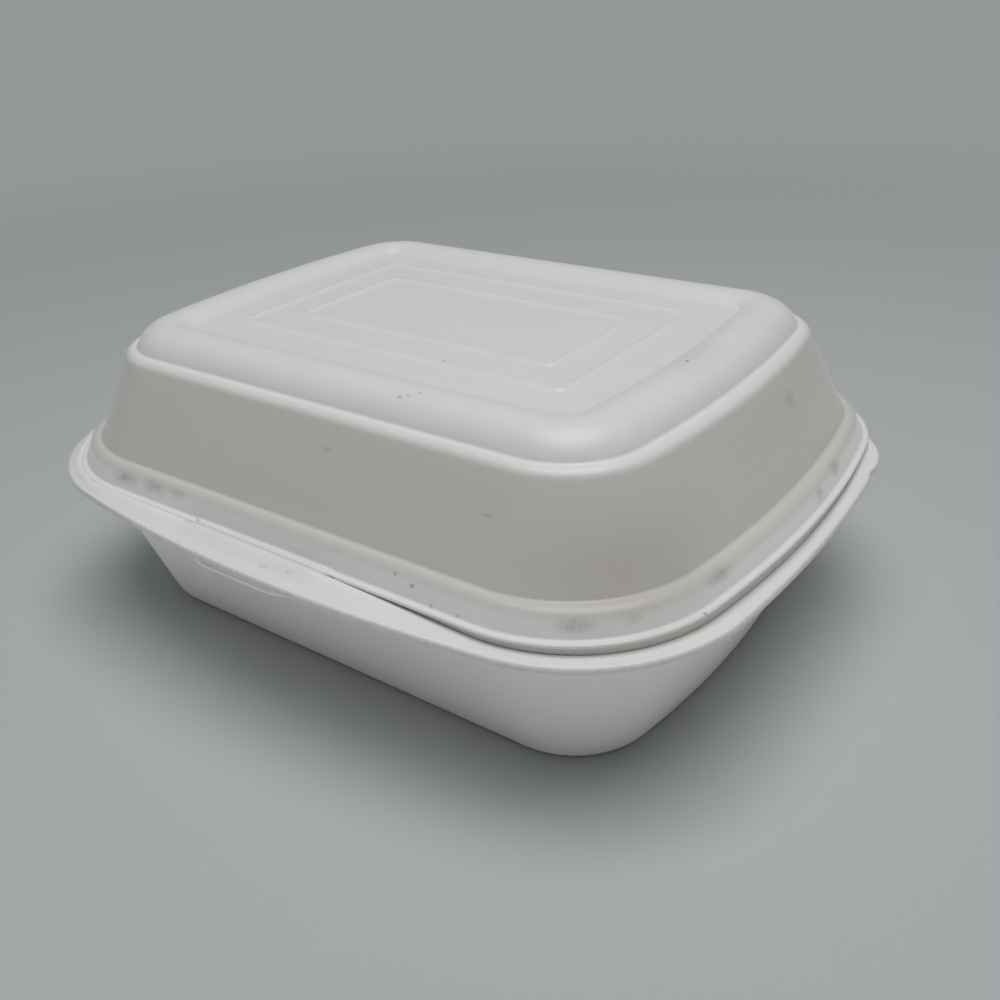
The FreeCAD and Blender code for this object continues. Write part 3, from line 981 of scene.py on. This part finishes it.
        arcs = (
            (0.0, front_y, self.rim_front_radius, -math.pi / 2, front_turn),
            (near[0], near[1], self.rim_front_corner, front_turn, side_start),
            (side_x, 0.0, self.rim_side_radius, side_start, side_end),
            (far_x, far_y, self.rim_back_corner, side_end, math.pi / 2),
        )
        right = np.concatenate([arc(*piece, self.line_steps, ended=True) for piece in arcs])
        return np.concatenate([right, right[::-1] * np.array([-1.0, 1.0])])

    def lip_line(self) -> np.ndarray:
        """The lid's lip as a closed line: behind, the rim ends level with it."""
        return Loop.even(20, corner=60, side=60, back=20).points(self.lip)

    def hinge_line(self) -> np.ndarray:
        """The straight piece of rim that ends in the fold."""
        half, back = self.hinge_half, self.hinge_back
        return np.array([[-half, 50.0], [half, 50.0], [half, back], [-half, back]])

    @staticmethod
    def last_hit(start: np.ndarray, way: np.ndarray, line: np.ndarray, furthest: float = 40.0) -> float:
        """Follows a straight way to its last crossing with a closed line.

        Args:
            start: where the way starts.
            way: its direction.
            line: corners of the closed line.
            furthest: crossings further off don't count.

        Returns:
            The distance to the crossing, or 0 where there is none.
        """
        tiny = 1e-9
        sides = np.roll(line, -1, axis=0) - line
        cross = way[0] * sides[:, 1] - way[1] * sides[:, 0]
        cross = np.where(np.abs(cross) < tiny, tiny, cross)
        offset = line - start
        distance = (offset[:, 0] * sides[:, 1] - offset[:, 1] * sides[:, 0]) / cross
        place = (offset[:, 0] * way[1] - offset[:, 1] * way[0]) / cross
        hit = (distance > 0) & (distance < furthest) & (place >= 0) & (place <= 1)
        return float(distance[hit].max()) if hit.any() else 0.0

    def build(self) -> bpy.types.Object:
        """Makes the tray's skin, outside and inside, with its rim and slit.

        Returns:
            The tray, in its place.
        """
        loop = self.loop()
        outer = self.section()
        inner = outer.shifted(WALL_FOAM)
        collar_width = self.lip.width - self.collar_inset
        top, under = inner.knees[-1], inner.knees[-2]
        part = (RIM_TOP - top.level) / (top.level - under.level)
        mouth = top.moved(part * (under.width - top.width), RIM_TOP, self.mouth_bend)
        inner.knees[-1:] = [mouth, mouth.moved(mouth.width - collar_width, RIM_TOP)]

        base, ways, reach = self.rim_edge(loop)
        count, front = loop.count(), len(loop.front)
        stretch = np.arange(count, dtype=float)
        # In front the loops keep their distance from the slit, elsewhere they share the rim's width.
        held = np.where(stretch < front, 1.0, 0.0)
        held = np.maximum(held, 1 - smooth_step(stretch, front, front + self.points_fade))
        held = np.maximum(held, smooth_step(stretch, count - self.points_fade, count))

        def rim_loop(distance: float, level: float) -> np.ndarray:
            """Points of the rim at a distance outside the collar."""
            scaled = reach * distance / (self.rim_front - collar_width)
            away = held * np.minimum(distance, reach - self.last_inset) + (1 - held) * scaled
            return np.column_stack([base + ways * away[:, None], np.full(count, level)])

        def edge_loop(inset: float, level: float) -> np.ndarray:
            """Points of the rim near its edge."""
            return np.column_stack([base + ways * (reach - inset)[:, None], np.full(count, level)])

        slit_out = self.slit_outer - collar_width
        steps = [self.slit_inner - collar_width, slit_out, *(slit_out + step for step in self.rim_steps)]
        shell = ShellMesh(outer.loops(loop))
        near = len(shell.loops)
        shell.add([rim_loop(step, RIM_UNDER) for step in steps])
        shell.add([edge_loop(self.edge_foot, RIM_UNDER)])
        shell.add([edge_loop(inset, RIM_UNDER + up) for inset, up in self.edge_under], Finish.CUT)
        shell.add([edge_loop(inset, RIM_TOP - down) for inset, down in self.edge_top], Finish.CUT)
        shell.add([rim_loop(step, RIM_TOP) for step in steps[::-1]])
        far = len(shell.loops) - 1
        shell.add(inner.loops(loop)[::-1])
        start = self.points_beside
        made = shell.build("tray_shell", Slit(near, far, start, start + self.points_along))
        places = read_places(made, len(shell.loops))
        self.shape(places, slice(near, far + 1), loop)
        write_places(made, places + (0.0, MIDDLE_Y, 0.0))
        return made

    def shape(self, places: np.ndarray, rim: slice, loop: Loop) -> None:
        """Pushes the strip up beside the slit, tilts the rim a little and breaks a chip out of it.

        Args:
            places: the tray's points, loop by loop, which change.
            rim: numbers of the loops that make the rim.
            loop: how the outlines are divided.
        """
        middle = (self.slit_left + self.slit_right) / 2
        half = (self.slit_right - self.slit_left) / 2
        base, _, reach = self.rim_edge(loop)
        on_rim = np.zeros(places.shape[:2])
        on_rim[rim] = 1.0
        in_front = on_rim.copy()
        in_front[:, len(loop.front) :] = 0.0

        # At the left the rim rises against the lip, and falls again to its edge.
        beyond = np.hypot(places[..., 0] - base[:, 0], places[..., 1] - base[:, 1]) - self.collar_inset
        room = np.maximum(reach - self.collar_inset, self.narrowest)
        dished = smooth_step(beyond, *self.dish_start) * (1 - smooth_step(beyond / room, *self.dish_end))
        places[..., 2] += self.dish * dished * seated(places) * on_rim

        from_end = half - np.abs(places[..., 0] - middle)
        lengthwise = smooth_step(from_end, self.ramp_inset - self.strip_ramp, self.ramp_inset)
        out = -places[..., 1] - self.slit_outer
        crosswise = 1 - smooth_step(out, 0.0, self.strip_width)
        places[..., 2] += self.strip_lift * lengthwise * crosswise * in_front * (out > -0.01)

        left = 1 - smooth_step(places[..., 0] / self.rim_length, *self.rise_along)
        tilt = self.rise_left * left - self.sag_right * gaping(places)
        places[..., 2] += tilt * np.clip(places[..., 2] / RIM_TOP, 0, 1) ** self.tilt_power

        away = np.hypot(places[..., 0] - self.chip[0], places[..., 1] - self.chip[1])
        broken = np.clip(1 - away / self.chip_reach, 0, 1) * on_rim
        places[..., 0] -= self.chip_depth * broken
        places[..., 2] -= self.chip_drop * broken


# Lock and fold


@dataclass
class Tongue:
    """The lid's tongue: a tapered strip of foam that drops through the slit and goes on under the rim."""

    middle: float = -2.4
    root_half: float = 20.0
    tip_half: float = 13.5
    foam: float = 1.4
    steps: int = 24
    # From this part of its length on, the tip is rounded, by this much at its end.
    round_from: float = 0.55
    rounding: float = 4.0
    # Y and Z along its middle, from the lip through the slit and forward under the rim.
    path: Points = (
        (-68.6, 40.6), (-69.25, 40.2), (-69.3, 39.2), (-69.4, 38.2), (-69.9, 37.25), (-70.8, 36.85),
        (-72.0, 36.8), (-74.0, 36.8), (-75.6, 36.85), (-76.6, 36.9), (-77.0, 36.95),
    )

    def build(self) -> bpy.types.Object:
        """Makes the tongue.

        Returns:
            The tongue, in the slit.
        """
        line = np.array(self.path)
        normals = ways_and_normals(np.gradient(line, axis=0))[1] * self.foam / 2
        across = 2 * np.arange(self.steps + 1) / self.steps - 1
        tip = line[-1, 0]
        rows = []
        for place, normal in zip(line, normals):
            far = np.clip((-place[0] - LIP.width) / (-tip - LIP.width), 0, 1)
            half = self.root_half + (self.tip_half - self.root_half) * far
            if far > self.round_from:
                part = (far - self.round_from) / (1 - self.round_from)
                half -= self.rounding * (1 - math.sqrt(max(0.0, 1 - part**2)))
            row = [(self.middle + half * x, *(place + normal)) for x in across]
            row += [(self.middle + half * x, *(place - normal)) for x in across[::-1]]
            rows.append(np.array(row) + (0.0, MIDDLE_Y, 0.0))
        return ShellMesh(rows).build("tongue")


@dataclass
class Fold:
    """The crease behind: the sheet runs from the rim round into the lid's lip."""

    half: float = 53.5
    back: float = 71.6
    steps: int = 40
    # Y from the rim's back and Z, round the outside of the crease and back along its inside.
    outside: Points = (
        (-1.6, 38.0), (-0.2, 38.0), (0.55, 38.5), (0.9, 39.3), (0.6, 40.2), (-0.2, 40.7), (-1.6, 40.7)
    )
    inside: Points = ((-1.6, 40.2), (-0.5, 40.0), (-0.15, 39.7), (-0.5, 39.4), (-1.6, 39.2))

    def build(self) -> bpy.types.Object:
        """Makes the crease as a thin bent strip.

        Returns:
            The strip, between tray and lid.
        """
        ring = self.outside + self.inside
        across = self.half * (2 * np.arange(self.steps + 1) / self.steps - 1)
        rows = [np.array([(x, self.back + y + MIDDLE_Y, z) for y, z in ring]) for x in across]
        return ShellMesh(rows).build("fold")


# Studio


@dataclass
class Studio:
    """Pale floor, soft light and the camera, whose place is in millimetres; the other lengths are metres."""

    focal: float = 37.33
    sensor: float = 36.0
    position: Place = (150.08, -185.37, 148.24)
    yaw: float = 0.6441
    pitch: float = 0.4896
    roll: float = -0.047
    floor_colour: str = "C0C5C5"
    bounce_colour: str = "F9F9FA"
    surround: str = "939796"
    fade_start: float = 0.16
    fade_end: float = 0.75
    floor_half: float = 6.0
    sky_colour: str = "E6E8EA"
    sky_strength: float = 0.19
    lamp_place: Place = (0.12, -0.06, 1.0)
    lamp_target: Place = (0.0, 0.0, 0.04)
    lamp_size: float = 0.75
    lamp_watts: float = 6.15

    def add_camera(self) -> None:
        """Puts the camera where the photo was taken."""
        turn = (
            Matrix.Rotation(self.yaw, 4, "Z")
            @ Matrix.Rotation(math.pi / 2 - self.pitch, 4, "X")
            @ Matrix.Rotation(self.roll, 4, "Z")
        )
        data = bpy.data.cameras.new("camera")
        data.lens = self.focal
        data.sensor_width = self.sensor
        data.clip_start = 0.01
        camera = add_object("camera", data)
        camera.matrix_world = Matrix.Translation(Vector(self.position) * MM) @ turn
        bpy.context.scene.camera = camera

    def add_lamp(self) -> None:
        """Adds a square lamp that points at the container."""
        data = bpy.data.lights.new("overhead", "AREA")
        data.size = self.lamp_size
        data.energy = self.lamp_watts
        lamp = add_object("overhead", data)
        lamp.location = self.lamp_place
        way = Vector(self.lamp_target) - Vector(self.lamp_place)
        lamp.rotation_euler = way.to_track_quat("-Z", "Y").to_euler()

    def add_floor(self) -> None:
        """Adds a wide floor whose colour the camera sees evenly."""
        half = self.floor_half
        mesh = bpy.data.meshes.new("floor")
        corners = [(-half, -half, 0), (half, -half, 0), (half, half, 0), (-half, half, 0)]
        mesh.from_pydata(corners, [], [(0, 1, 2, 3)])
        floor = add_object("floor", mesh)
        material = bpy.data.materials.new("floor_paper")
        tree = empty_tree(material)
        # The paper throws more light back at the container than the camera sees on it.
        rays = add_node(tree, "LightPath")
        shade = add_node(
            tree, "Mix", COLOURS, in_0=rays.outputs["Is Camera Ray"],
            in_6=linear_colour(self.bounce_colour), in_7=linear_colour(self.floor_colour),
        )
        paper = add_node(
            tree, "BsdfPrincipled", Base_Color=shade.outputs[2], Roughness=0.8, Specular_IOR_Level=0.2
        )
        # Away from the container the camera sees the paper go over into the even surround.
        place = add_node(tree, "TexCoord").outputs["Object"]
        away = add_node(tree, "VectorMath", {"operation": "LENGTH"}, Vector=place)
        fade = add_node(
            tree, "MapRange", SMOOTH, Value=away.outputs["Value"], From_Min=self.fade_start,
            From_Max=self.fade_end,
        )
        part = add_node(tree, "Math", MULTIPLY, in_0=fade, in_1=rays.outputs["Is Camera Ray"])
        even = add_node(tree, "Emission", Color=linear_colour(self.surround))
        seen = add_node(tree, "MixShader", in_0=part, in_1=paper, in_2=even)
        add_node(tree, "OutputMaterial", Surface=seen)
        mesh.materials.append(material)

    def add_world(self) -> None:
        """Sets an even pale surround."""
        world = bpy.data.worlds.new("surround")
        bpy.context.scene.world = world
        tree = empty_tree(world)
        light = add_node(tree, "Background", Color=linear_colour(self.sky_colour), Strength=self.sky_strength)
        seen = add_node(tree, "Background", Color=linear_colour(self.surround))
        rays = add_node(tree, "LightPath")
        mixed = add_node(tree, "MixShader", in_0=rays.outputs["Is Camera Ray"], in_1=light, in_2=seen)
        add_node(tree, "OutputWorld", Surface=mixed)

    def build(self) -> None:
        """Builds camera, floor, surround and lamp."""
        bpy.context.scene.view_settings.view_transform = "Standard"
        self.add_camera()
        self.add_floor()
        self.add_world()
        self.add_lamp()


# The whole container

# Grey finger marks on the skirt, faint scuffs on the wall, single specks of dirt on lip, ring and rim, and
# one wide warm patch of painted shade over the near right corner.
LID_SMUDGES_AND_SHADE = (
    SmudgeOrShade((-48.9, -64.4, 43.6), (7.0, 3.0, 2.4), 0.61),
    SmudgeOrShade((-38.5, -64.3, 43.8), (6.0, 3.0, 2.2), 0.55),
    SmudgeOrShade((-30.5, -64.2, 44.2), (4.0, 3.0, 1.6), 0.43),
    SmudgeOrShade((70.4, -59.2, 43.2), (5.5, 5.0, 2.0), 0.55),
    SmudgeOrShade((78.0, -52.0, 43.6), (3.0, 3.0, 1.6), 0.32),
    SmudgeOrShade((85.1, -32.5, 44.4), (3.0, 6.0, 1.8), 0.55),
    SmudgeOrShade((87.3, 21.3, 44.1), (3.0, 5.0, 2.2), 0.61),
    SmudgeOrShade((88.2, 9.5, 43.3), (3.0, 3.5, 2.0), 0.49),
    SmudgeOrShade((77.2, 17.2, 59.6), (2.5, 4.0, 3.6), 0.4, 0.9),
    SmudgeOrShade((49.2, -55.4, 57.6), (2.4, 2.0, 0.5), 0.32, 0.5, 0.6),
    SmudgeOrShade((8.5, -54.0, 60.5), (1.8, 1.6, 0.6), 0.3, 0.5, 0.6),
    SmudgeOrShade((86.3, -40.8, 41.5), (0.9, 0.5, 1.5), 0.8, 0.4, 0.8, "55504E"),
    SmudgeOrShade((37.7, -64.4, 43.4), (0.9, 1.2, 0.6), 0.7, 0.4, 0.9),
    SmudgeOrShade((33.3, -64.0, 44.4), (0.7, 1.2, 0.5), 0.6, 0.4, 0.9),
    SmudgeOrShade((42.9, -65.7, 41.3), (0.7, 1.0, 0.5), 0.7, 0.4, 0.9, "5A5654"),
    SmudgeOrShade((49.0, -65.7, 41.3), (0.7, 1.0, 0.5), 0.6, 0.4, 0.9),
    SmudgeOrShade((21.2, -44.9, 71.1), (0.9, 0.5, 0.5), 0.6, 0.4, 0.9),
    SmudgeOrShade((22.8, -44.1, 71.4), (1.1, 0.35, 0.5), 0.6, 0.4, 0.9),
    SmudgeOrShade((24.7, -42.8, 71.9), (0.9, 0.4, 0.5), 0.5, 0.4, 0.9),
    SmudgeOrShade((61.9, -2.2, 72.1), (0.7, 0.8, 0.6), 0.7, 0.4, 1.0, "5A5654"),
    SmudgeOrShade((62.0, 2.0, 72.0), (7.0, 16.0, 1.2), 0.3, 0.45, 0.0),
    # Painted shade: this wide warm patch darkens the whole near right corner of the lid; it is no dirt.
    SmudgeOrShade((74.0, -48.0, 50.0), (30.0, 30.0, 16.0), 0.4, 6.0, 0.8, "B4A99B"),
    SmudgeOrShade((14.9, -23.3, 70.3), (0.6, 0.6, 0.5), 0.6, 0.4, 1.0, "5A5654"),
)
TRAY_SMUDGES = (
    SmudgeOrShade((84.3, -40.5, 38.6), (0.9, 0.8, 1.2), 1.0, 0.4, 1.0, "1E1C1C"),
    SmudgeOrShade((58.2, -64.1, 38.6), (0.9, 0.8, 1.0), 0.9, 0.4, 1.0, "3C3A38"),
    SmudgeOrShade((3.6, -71.0, 39.9), (2.2, 1.0, 1.5), 0.45, 0.5, 0.2),
    SmudgeOrShade((10.4, -70.0, 40.2), (1.8, 0.9, 1.5), 0.4, 0.5, 0.2),
    SmudgeOrShade((92.3, 34.0, 38.9), (0.9, 1.1, 1.6), 0.9, 0.4, 1.0, "4A4846"),
)


def dress(piece: bpy.types.Object, skin: bpy.types.Material, cut: bpy.types.Material) -> None:
    """Gives a piece its two finishes and reports it.

    Args:
        piece: the piece.
        skin: finish of its pressed faces.
        cut: finish of its trimmed edge.
    """
    piece.data.materials.append(skin)
    piece.data.materials.append(cut)
    LOG.info("%s: %d faces", piece.name, len(piece.data.polygons))


def main() -> None:
    """Builds the container and the studio."""
    logging.basicConfig(level=logging.INFO, format="%(name)s: %(message)s")
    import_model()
    lid_foam = PressedFoam("lid_foam", marks_and_shade=LID_SMUDGES_AND_SHADE).make()
    # The tray's walls get a lighter painted shade, between 2 and 32 mm up.
    tray_foam = PressedFoam(
        "tray_foam", wall_shade="E4E3E0", wall_shade_from=2.0, wall_shade_to=32.0, marks_and_shade=TRAY_SMUDGES
    ).make()
    cut_foam = CutFoam("cut_edge").make()

    tray = Tray().build()
    dress(tray, tray_foam, cut_foam)
    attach(tray, "tray")
    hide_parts("tray")

    lid = Lid().build()
    dress(lid, lid_foam, cut_foam)
    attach(lid, "lid")
    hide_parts("lid")

    tongue = Tongue().build()
    dress(tongue, lid_foam, cut_foam)
    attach(tongue, "lid")

    fold = Fold().build()
    dress(fold, tray_foam, cut_foam)
    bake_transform(fold)

    Studio().build()


if __name__ == "__main__":
    main()
